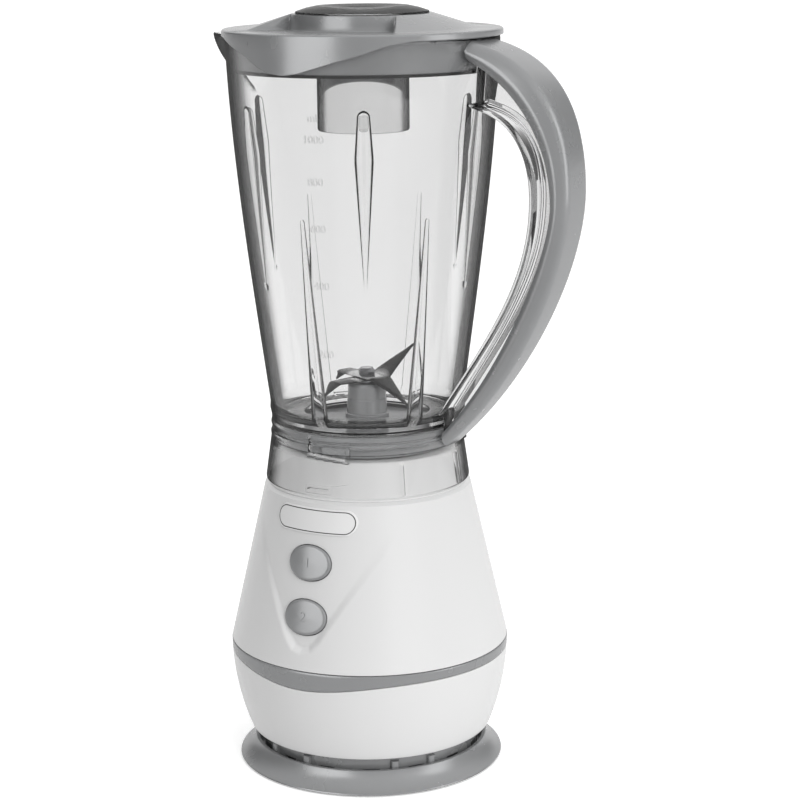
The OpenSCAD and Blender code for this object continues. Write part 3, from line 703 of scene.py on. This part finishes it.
# ---- blade unit ----
holder = rounded([
    (5.6, 156.2, 0.3), (9, 156.2, 0.4), (9, 164.4, 0.8), (38.2, 164.4, 0.8), (38.2, 157.4, 0.3),
    (40.4, 157.4, 0.5), (40.4, 161.8, 0.3), (43.2, 162.2, 0.6), (43.2, 164.4, 0.3), (42.2, 164.8, 0.3),
    (42.2, 165.6, 0.3), (43.2, 166, 0.3), (43.2, 167.6, 0.5), (40.6, 167.6, 0.4), (40.6, 167, 0.2),
    (10.5, 167, 0.8), (10.5, 170.6, 0.5), (9.65, 171.2, 0.3), (9.4, 178, 0.2), (9.2, 178.6, 0.2),
    (9.05, 184.6, 0.6), (8.4, holder_z, 0.5), (5.6, holder_z, 0.2),
])
lug_arc = np.radians(np.linspace(-8, 8, 9))
lug_face = np.column_stack([44.5 * np.cos(lug_arc), 44.5 * np.sin(lug_arc)])
lug = np.vstack([lug_face, [(42.4, 5.8), (42.4, -5.8)]])
make("blade_base", *turned(holder, 192), "grey_plastic", "blade_unit", ["blade_holder"])
lugs = [turn_about_z(prism(lug, 160, 163), 40 + 120 * i) for i in range(3)]
make("blade_base_lugs", *joined(*lugs), "grey_plastic", "blade_unit")


def blade(stations, thickness, height, azimuth):
    """A ground blade: stations are (run, rise, left half-width, right half-width) along its middle line."""
    stations = np.array(stations, float)
    rows = []
    for i, (run, rise, left, right) in enumerate(stations):
        ahead = stations[min(i + 1, len(stations) - 1)][:2] - stations[max(i - 1, 0)][:2]
        up = np.array([-ahead[1], ahead[0]]) / np.hypot(*ahead) * thickness / 2
        ground = min(1.6, 0.45 * (left + right))
        section = [
            (left, 0.1), (left - ground, 1), (-right + ground, 1), (-right, 0.1),
            (-right, -0.5), (-right + 0.4, -1), (left - 0.4, -1), (left, -0.5),
        ]
        rows.append([(run + up[0] * h, y, rise + up[1] * h) for y, h in section])
    place = Matrix.Translation((0, 0, height)) @ Matrix.Rotation(math.radians(azimuth), 4, "Z")
    return moved(grid(np.array(rows), wrap_rows=False, caps=True), place)


def arm(start, reach, tilt, root, tip, side=1, bend=1.5, count=7):
    """Stations from start out to reach, bent by tilt degrees, going from root (left, right) to tip."""
    angle = math.radians(tilt)
    stations = []
    for k in range(5):
        a = angle * k / 4
        rise = math.copysign(bend, angle) * (1 - math.cos(a))
        stations.append((start + side * bend * math.sin(abs(a)), rise, *root))
    base = stations[-1]
    length = (reach - abs(base[0])) / math.cos(angle)
    for k in range(1, count + 1):
        w = k / count
        left = root[0] + (tip[0] - root[0]) * w**1.2
        right = root[1] + (tip[1] - root[1]) * w**0.8
        run, rise = base[0] + side * length * w * math.cos(angle), base[1] + length * w * math.sin(angle)
        stations.append((run, rise, left, right))
    return stations


upper_blade = arm(-16.5, blade_reach, -34, (4.6, 4.6), (1.6, -1.2), side=-1)[::-1]
upper_blade += [(-12, 0, 5.2, 5.2), (-4, 0, 5.7, 5.7), (4, 0, 6, 6)]
upper_blade += arm(9.5, blade_reach, -36, (6.2, 6.2), (4.2, -3.9))
lower_blade = arm(-18.5, blade_reach, -38, (4, 4), (-0.6, 1.0), side=-1)[::-1]
lower_blade += [(-14, 0, 4.6, 4.6), (-4, 0, 5.6, 5.6), (4, 0, 6.4, 6.4)]
lower_blade += arm(8, blade_reach, 38, (6.8, 6.8), (-4.2, 4.6))
# the blades are painted near-black on their arms: painted shade, not the steel's own colour
painted_shade_blade_steel = blade_steel_with_painted_arms()
for name, node, stations, height, azimuth in (
    ("blade_top", "upper_blade", upper_blade, 189.2, -21.5),
    ("blade_low", "lower_blade", lower_blade, 188.0, 68.5),
):
    steel = blade(stations, blade_t, height, azimuth)
    make(name, *steel, "stainless_steel", "blades", [node], crease=20).data.materials[0] = painted_shade_blade_steel
nut_r, nut_turn = 4.2, 10
nut_angle = np.radians(60 * np.arange(6) + nut_turn)
hexagon = nut_r * np.column_stack([np.cos(nut_angle), np.sin(nut_angle)])
nut_rows = ((189.85, 0.95), (190.1, 1), (192.0, 1), (192.35, 0.9))
nut_body = np.array([[(x * s, y * s, z) for x, y in hexagon] for z, s in nut_rows])
dome = turned([(0, 192.2), (3.2, 192.2), (3.2, 192.5), (2.7, 192.9), (0, 193.0)], 32)
nut = grid(nut_body, wrap_rows=False, caps=True)
make("nut", *nut, "stainless_steel", "blades", ["blade_nut"])
make("nut_cap", *dome, "stainless_steel", "blades")

# ---- jug ----
jug_wall = 2.6
side_curve = bezier([(46.2, 178), (52.8, 229.5), (61.8, 290), (63.8, rim_z)], 160)
wall_line = np.vstack([[(49, skirt_z), (45.5, 165), (45.7, 172)], side_curve])
beads, bead_wide, bead_high = (163.2, 167.6, 174.4), 1.3, 0.45
pocket_azimuth = -84
jug_floor_r, jug_floor_z = 41.2, 173.2


def wall_r(z):
    return np.interp(z, wall_line[:, 1], wall_line[:, 0])


def outer_r(z):
    return wall_r(z) + sum(bead_high * np.exp(-(((z - b) / bead_wide) ** 2)) for b in beads)


def raised(along, half_width, soft=0.5):
    """1 within half_width of 0, falling softly to 0 outside it."""
    return smoothstep((half_width - np.abs(along)) / soft + 0.5)


def skirt_relief(angle, z):
    """How far the bayonet pockets, the stop tab and the mould lines stand out of the skirt."""

    def degrees_from(azimuth):
        return (np.degrees(angle) - azimuth + 180) % 360 - 180

    relief = 0 * z
    for turn in (0, 120, 240):
        off = degrees_from(pocket_azimuth + turn)
        foot = 158.4 - 0.08 * off
        pocket = raised(off, 13, 1.0) * raised(z - foot - 3.9, 4.7, 0.7)
        hollow = raised(off, 11, 1.0) * raised(z - foot - 5.6, 4.8, 0.7)
        relief = np.maximum(relief, 1.3 * (pocket - hollow))
    off = degrees_from(pocket_azimuth)
    tab = raised(off + 4, 8.2, 1.2) * raised(z - 143.9, 1.9, 0.8)
    inner_tab = raised(off + 4, 6.2, 1.2) * raised(z - 143.9, 0.5, 0.8)
    run_in = raised(off - 8.5, 5.5, 1.2) * raised(z - 146.9 - 0.17 * (off - 8.5), 0.45, 0.9)
    relief = np.maximum(relief, 1.3 * (tab - inner_tab))
    relief = np.maximum(relief, 1.2 * run_in)
    for line_at, half_width, height in ((-40.5, 1.0, 1.4), (0.5, 0.4, 0.6), (4, 0.4, 0.6)):
        off = degrees_from(line_at)
        relief = np.maximum(relief, height * raised(off, half_width, 1.4) * raised(z - 148.5, 7.5, 1))
    return relief


def spout_face(angle, z, inset=0.0):
    """Distance from the axis to the two sides of the spout, whose ridge curves down into the wall."""
    half, back, low = 40, 44, 316
    off = angle - math.pi
    side = np.sqrt(np.sin(off) ** 2 + 0.0001)
    ridge = spout_r + 0.4 - (spout_r - 54) * np.clip((rim_z - z) / (rim_z - low), 0, 2) ** 1.6
    return half * (ridge - inset) / (half * np.abs(np.cos(off)) + (spout_r - back) * side)


def with_spout(r, angle, z, inset):
    near = (np.abs(angle % (2 * math.pi) - math.pi) < 1.2) & (z > 300)
    return np.where(near, soft_max(r, spout_face(angle % (2 * math.pi), z, inset), 2.0), r)


# Each 30 degree sector has one rib: the middle half of its columns follow the rib's width
sector = np.linspace(-0.5, 0.5, 32, endpoint=False)
rib_low = 0.35


def rib_half(z, kind):
    """Half a rib's width at each height. Kind 0 hangs from the top, kind 1 stands on the floor."""
    if kind == 0:
        body = np.interp(z, [235, 298, 317, 320], [rib_low, 4.25, 2.9, 2.9])
        head = np.sqrt(np.clip(1 - (np.clip(z - 317, 0, 3) / 3) ** 2, 0, 1))
        return np.maximum(body * head, rib_low)
    return np.interp(z, [172, 270, 271], [4.1, 1.0, rib_low])


def rib_high(z, kind):
    half = rib_half(z, kind)
    return 0.85 * half * smoothstep((half - rib_low) / 0.9)


inner_z = np.unique(np.round(np.concatenate([
    np.arange(176, 234, 2.4), np.arange(234, 244, 1.2), np.arange(244, 267, 2.6), np.arange(267, 273, 0.7),
    np.arange(273, 315, 2.4), np.arange(315, 321.6, 0.35), np.arange(322, rim_z - 1, 2.2),
]), 2))
outer_z = np.concatenate([
    np.arange(skirt_z + 1.2, 149, 0.25), np.arange(149, 171, 0.45),
    np.arange(171.5, 300, 3.2), np.arange(300, rim_z - 1.2, 1.5),
])
rim = [(-0.15, rim_z - 0.5), (-0.6, rim_z - 0.08), (-1.3, rim_z), (-2.0, rim_z - 0.08), (-2.45, rim_z - 0.5)]
below = rounded([
    (38, 172), (30, 172, 0.5), (30, 168.9, 0.4), (43.6, 168.9, 0.4), (43.6, 163.3), (44.9, 163.3),
    (44.9, 159.7), (43.6, 159.7), (43.6, 157, 0.3), (46.7, skirt_z, 0.3), (49, skirt_z, 0.5),
])
below_r, below_z = below[:, 0], below[:, 1]
jug_r, jug_z, jug_angle = [], [], []
half_sector = math.radians(15)
for s in range(12):
    centre, kind = 2 * half_sector * s, s % 2
    half, high = rib_half(inner_z, kind), rib_high(inner_z, kind)
    clear_r = wall_r(inner_z) - jug_wall
    reach = clear_r * half_sector
    for place in sector:
        if abs(place) <= 0.25:
            turn = 2 * math.pi * place
            offset, lift = half * math.sin(turn), high * max(0, math.cos(turn)) ** 0.7
        else:
            offset = math.copysign(1, place) * (half + (reach - half) * (4 * abs(place) - 1))
            lift = 0 * inner_z
        angle = centre + 2 * half_sector * place
        inside_angle = centre + offset / clear_r
        outside = with_spout(outer_r(outer_z) + skirt_relief(angle, outer_z), angle, outer_z, 0)
        top = with_spout(wall_r(rim_z), angle, rim_z, 0)
        inside = with_spout(clear_r, inside_angle, inner_z, 2.9) - lift
        over_rim, floor_edge = [top + r for r, _ in rim], [jug_floor_r - lift[0]]
        jug_r.append(np.concatenate([outside, over_rim, inside[::-1], floor_edge, below_r]))
        jug_z.append(np.concatenate([outer_z, [z for _, z in rim], inner_z[::-1], [jug_floor_z], below_z]))
        ends = np.full(len(outer_z) + len(rim), angle), np.full(len(below), angle)
        jug_angle.append(np.concatenate([ends[0], inside_angle[::-1], inside_angle[:1], ends[1]]))
jug = around_axis(np.array(jug_r), np.array(jug_z), np.array(jug_angle))
make("jug_wall", *jug, "clear_plastic", "jug", ["jug"], crease=50)


# Scale: its unit and figures standing out of the wall, a step of 200 apart
def on_wall(figure, azimuth, height):
    """Wraps flat figures round the jug at a height."""
    z = height + figure[:, 1]
    r = wall_r(z) + figure[:, 2]
    angle = np.radians(azimuth) + figure[:, 0] / wall_r(height)
    return np.column_stack([r * np.cos(angle), r * np.sin(angle), z])


scale = (("ml", 316.6), ("1000", 307), ("800", 288), ("600", 266.7), ("400", 240.3), ("200", 208.2))
scale_azimuth, figure_size, figure_depth = -81.5, 5, 0.16
marks = []
for label, height in scale:
    figure, figure_faces = digits(label, figure_size, figure_depth)
    marks.append((on_wall(figure, scale_azimuth, height), figure_faces))
make("scale_marks", *joined(*marks), "clear_plastic", "jug")

# Handle: a clear T-shaped core on the jug and a grey cover over it
def bow(start, lean_out, widest, up, down, lean_in, end, count=26):
    top = bezier([start, lean_out, (widest[0], widest[1] + up), widest], count)
    low = bezier([widest, (widest[0], widest[1] - down), lean_in, end], count)
    return np.vstack([top, low[1:]])


handle_inner = bow((67.5, 317.5), (83.5, 312.5), (91.3, 279), 19.5, 36, (71.5, 217), (46.7, 179))
handle_joint = bow((57.6, 341.4), (81.5, 334.2), (101, 276.5), 31.5, 23.5, (73.5, 196), (45.6, 167.6))
handle_outer = bow((62, 348.6), (93, 342), (109.9, 282), 38, 32.5, (87.5, 197), (46.6, 160.2))


def loft(near, far, section, keep_out):
    """A bar between two lines in the XZ plane. section(length, height) is a closed outline of (along, y)."""
    rows = []
    for a, b in zip(near, far):
        length = np.linalg.norm(b - a)
        along = (b - a) / length
        rows.append([(*(a + along * s), y) for s, y in section(length, (a[1] + b[1]) / 2)])
    rows = np.array(rows)
    x, z, y = rows[..., 0], rows[..., 1], rows[..., 2]
    limit = np.sqrt(np.maximum((wall_r(z) + keep_out) ** 2 - y**2, 0))
    return grid(np.stack([np.maximum(x, limit), y, z], axis=-1), wrap_rows=False, caps=True)


def core_section(length, _):
    web, flange, deep = 7, 12.4, 1.7
    return rounded([
        (0, -flange, 0.8), (deep, -flange, 0.8), (deep, -web, 0.5), (length - 0.2, -web, 0.3),
        (length - 0.2, web, 0.3), (deep, web, 0.5), (deep, flange, 0.8), (0, flange, 0.8),
    ], steps=5)


def cover_section(length, height):
    half = np.interp(height, [164, 240, 300, 336, 350], [11, 13, 14, 17, 17])
    wall, ridge, draw_in = 2.4, 0.38 * length, 2.2
    return rounded([
        (0.3, draw_in - half, 0.9), (ridge, -half, 4), (length, 3.2 - half, 5), (length, half - 3.2, 5),
        (ridge, half, 4), (0.3, half - draw_in, 0.9), (0.3, half - draw_in - wall, 0.7),
        (length - wall, half - 6, 1.5), (length - wall, 6 - half, 1.5), (0.3, wall + draw_in - half, 0.7),
    ], steps=9)


core_near = np.vstack([[(61.8, 319.2)], handle_inner, [(45.6, 177.5)]])
core_far = np.vstack([[(57.0, 341.9)], handle_joint, [(44.8, 166.6)]])
handle_core = make("jug_handle_core", *loft(core_near, core_far, core_section, 0.1), "clear_plastic", "jug")
handle_core.data.materials[0] = core_plastic
grip = loft(handle_joint, handle_outer, cover_section, 0.15)
make("handle_grip", *grip, "grey_plastic", "jug", ["handle_cover"])


# ---- lid ----
scoop_half = np.array([(29, 15.5), (38, 38), (50, 60)])
skirt_line = np.array([
    (-48, 349.8), (-24.5, 342), (-20.5, 339.3), (-12.5, 336), (-4, 335), (4, 336), (13.5, 338.8),
    (22.5, 341.6), (31.5, 344.2), (41, 348), (48.5, 349.6), (52, 349.9),
])
ledge_z, cone_r, collar_r, hole_r, floor_of_scoop = 353, 54, 33, 22.2, 352.6
lid_angle = np.radians(np.linspace(0, 360, 640, endpoint=False))


def inside_scoop(x, y):
    """Distance into the finger scoops in front and behind, negative outside them."""
    x, y = np.abs(x), np.abs(y)
    a, b = scoop_half[:-1], scoop_half[1:]
    best = None
    for p, q in zip(a, b):
        along = (q - p) / np.linalg.norm(q - p)
        across = (x - p[0]) * along[1] - (y - p[1]) * along[0]
        best = across if best is None else np.maximum(best, across)
    return np.minimum(-best, y - 8)


def lid_top(angle, r):
    x, y = r * np.cos(angle), r * np.sin(angle)
    cone = ledge_z + (collar_z - ledge_z) * (cone_r - r) / (cone_r - collar_r)
    crown = ledge_z + soft_max(np.zeros_like(r), cone - ledge_z, 0.6)
    cut_in = smoothstep((inside_scoop(x, y) + 0.9) / 1.8) * smoothstep((r - collar_r) / 1.1 + 0.1)
    return crown + (floor_of_scoop - crown) * cut_in


lid_r_rows = np.concatenate([[62.5, 59, 56.5, 55.2], np.arange(54.6, 32.6, -0.33)])
edge_x = 65 * np.cos(lid_angle)
low_edge = np.interp(edge_x, skirt_line[:, 0], skirt_line[:, 1])
low_edge = np.where(np.abs(edge_x) > skirt_line[-1, 0], skirt_line[-1, 1], low_edge)
kernel = np.hanning(9)[1:-1]
wrapped = np.concatenate([low_edge[-3:], low_edge, low_edge[:3]])
low_edge = np.convolve(wrapped, kernel / kernel.sum(), mode="valid")
count = len(lid_angle)


def column(value):
    return np.tile(np.asarray(value, float), (count, 1))


flange_edge = rounded([(lid_r, 349.9), (lid_r, ledge_z, 1.1), (60, ledge_z)], 12)[1:-1]
top_grid = lid_top(lid_angle[:, None] + 0 * lid_r_rows, lid_r_rows + 0 * lid_angle[:, None])
hole = rounded([
    (32.2, collar_z), (hole_r, collar_z, 0.8), (hole_r, 350, 0.4), (24.5, 350), (24.5, 357, 0.5),
    (30.5, 357, 0.5), (30.5, 350, 0.4), (57, 350, 0.5), (57, 334, 0.5), (59.3, 334, 0.7),
    (59.3, 350, 0.4),
])
skirt_in, skirt_out = 64.1, lid_r
skirt_r = column([skirt_in, skirt_in, skirt_in + 0.25, skirt_out - 0.3, skirt_out, skirt_out])
skirt_top, half_way = np.full(count, 350.0), (low_edge + 350.5) / 2 + 0.2
skirt_rows = [skirt_top, np.minimum(low_edge + 0.3, 350), low_edge, low_edge, low_edge + 0.3, half_way]
skirt_z_rows = np.stack(skirt_rows, axis=1)
lid_rr = np.hstack([skirt_r, column(flange_edge[:, 0]), column(lid_r_rows), column(hole[:, 0])])
lid_zz = np.hstack([skirt_z_rows, column(flange_edge[:, 1]), top_grid, column(hole[:, 1])])
make("lid_shell", *around_axis(lid_rr, lid_zz, lid_angle), "grey_plastic", "lid", ["lid"], crease=42)

# Measuring cap: a cup that opens downwards, its closed top a shallow dish inside a raised rim
cup_outer, cup_inner = 21.5, 19.7
cap_outline = rounded([
    (cup_inner, cup_z, 0.5), (cup_outer - 0.3, cup_z, 0.5), (cup_outer, cup_z + 1),
    (cup_outer, cap_z - 3.5, 0.3), (cap_r, cap_z - 3.5, 0.3), (cap_r, cap_z - 2.6, 0.4),
    (26.5, cap_z - 1.1, 6), (21.5, cap_z - 0.05, 2), (18.2, cap_z - 0.1, 2), (12, cap_z - 1.0, 6),
    (0, cap_z - 1.2), (0, cap_z - 3), (18.7, cap_z - 3, 0.6), (cup_inner, cap_z - 4, 0.6),
])
make("cap_shell", *turned(cap_outline, 192), "smoke_plastic", "cap", ["measuring_cap"])

# ---- stage, light and camera ----
floor_half = 30
floor_mesh = bpy.data.meshes.new("floor")
floor_corners = [(x * floor_half, y * floor_half, 0) for x, y in ((-1, -1), (1, -1), (1, 1), (-1, 1))]
floor_mesh.from_pydata(floor_corners, [], [(0, 1, 2, 3)])
floor = bpy.data.objects.new("floor", floor_mesh)
bpy.context.scene.collection.objects.link(floor)
pale_floor = shader("pale_floor", grey(0.76), 0.8, vary=0.004, relief=0)
floor_tree = pale_floor.node_tree
seen = floor_tree.nodes.new("ShaderNodeLightPath").outputs["Is Camera Ray"]

# Painted shade: towards the camera the floor is darker in the reflections, standing in for a dim room on
# that side, and plain white where the camera itself sees it
floor_place = floor_tree.nodes.new("ShaderNodeTexCoord").outputs["Object"]
nearer = along_direction(floor_tree, floor_place, (0.49, -0.87, 0))
shade = combined(floor_tree, "MAXIMUM", seen, map_range(floor_tree, nearer, 0, 0.45, 0.88, 0.3))
glow = floor_tree.nodes["Principled BSDF"].inputs
floor_tree.links.new(shade, glow["Base Color"])
glow["Emission Color"].default_value = (1, 1, 1, 1)
floor_tree.links.new(map_range(floor_tree, seen, 0, 1, 0.13, 0.3), glow["Emission Strength"])
floor_mesh.materials.append(pale_floor)

heading, pitch, roll = 29.12, -12.6, -0.52
to_the_right = (math.cos(math.radians(heading)), math.sin(math.radians(heading)), 0)

# A white room, brightest overhead, with a dark flag on each side to draw the edges of the clear plastic
world = bpy.data.worlds.new("studio")
world.use_nodes = True
bpy.context.scene.world = world
sky = world.node_tree
nodes, links = sky.nodes, sky.links
heading_of_ray = nodes.new("ShaderNodeTexCoord").outputs["Generated"]
parts = nodes.new("ShaderNodeSeparateXYZ")
links.new(heading_of_ray, parts.inputs["Vector"])
sideways = along_direction(sky, heading_of_ray, to_the_right)
forwards = along_direction(sky, heading_of_ray, (-to_the_right[1], to_the_right[0], 0))
right_flag = map_range(sky, sideways, 0.42, 0.62, 1, 0.10, smooth=True)
left_flag = map_range(sky, sideways, -0.62, -0.42, 0.06, 1, smooth=True)
dim_front = map_range(sky, forwards, -0.9, -0.3, 0.4, 1, smooth=True)
walls = combined(sky, "MULTIPLY", combined(sky, "MULTIPLY", right_flag, left_flag), dim_front)
ceiling = nodes.new("ShaderNodeMix")
ceiling.inputs["B"].default_value = 1.02
links.new(map_range(sky, parts.outputs["Z"], 0.25, 0.7, 0, 1, smooth=True), ceiling.inputs["Factor"])
links.new(walls, ceiling.inputs["A"])
room = nodes["Background"]
links.new(ceiling.outputs["Result"], room.inputs["Strength"])
backdrop = nodes.new("ShaderNodeBackground")
for background in (room, backdrop):
    background.inputs["Color"].default_value = (1, 1, 1, 1)
path = nodes.new("ShaderNodeLightPath")
either = nodes.new("ShaderNodeMixShader")
links.new(path.outputs["Is Camera Ray"], either.inputs["Fac"])
links.new(room.outputs["Background"], either.inputs[1])
links.new(backdrop.outputs["Background"], either.inputs[2])
links.new(either.outputs["Shader"], nodes["World Output"].inputs["Surface"])


def softbox(name, place, target, width, height, power):
    light = bpy.data.lights.new(name, "AREA")
    light.shape, light.size, light.size_y, light.energy = "RECTANGLE", width, height, power
    box = bpy.data.objects.new(name, light)
    box.location = place
    box.rotation_mode = "QUATERNION"
    box.rotation_quaternion = (Vector(target) - Vector(place)).to_track_quat("-Z", "Y")
    bpy.context.scene.collection.objects.link(box)
    return box


aim = (0, 0, 0.2)
key = softbox("key", (1.3, -0.7, 0.6), aim, 1.0, 1.3, 14.5)
key.visible_glossy = key.visible_transmission = False

# Two tall boxes that only draw highlights on the grey pieces
greys = bpy.data.collections.new("grey_pieces")
for held in bpy.context.scene.objects:
    if held.type == "MESH" and held.data.materials[:1] == [materials["grey_plastic"]]:
        greys.objects.link(held)
for name, azimuth, width, power in (("left_box", -103, 1.1, 17), ("right_box", 6, 0.7, 9)):
    place = (1.45 * math.cos(math.radians(azimuth)), 1.45 * math.sin(math.radians(azimuth)), 0.45)
    box = softbox(name, place, aim, width, 1.3, power)
    box.visible_diffuse = box.visible_transmission = False
    box.light_linking.receiver_collection = greys

camera_data = bpy.data.cameras.new("camera")
camera_data.lens, camera_data.sensor_width = 99, 36
camera = bpy.data.objects.new("camera", camera_data)
camera.matrix_world = (
    Matrix.Translation((0.515, -0.892, 0.4066))
    @ Matrix.Rotation(math.radians(heading), 4, "Z")
    @ Matrix.Rotation(math.radians(90 + pitch), 4, "X")
    @ Matrix.Rotation(math.radians(roll), 4, "Z")
)
bpy.context.scene.collection.objects.link(camera)
bpy.context.scene.camera = camera
bpy.context.scene.view_settings.view_transform = "Standard"
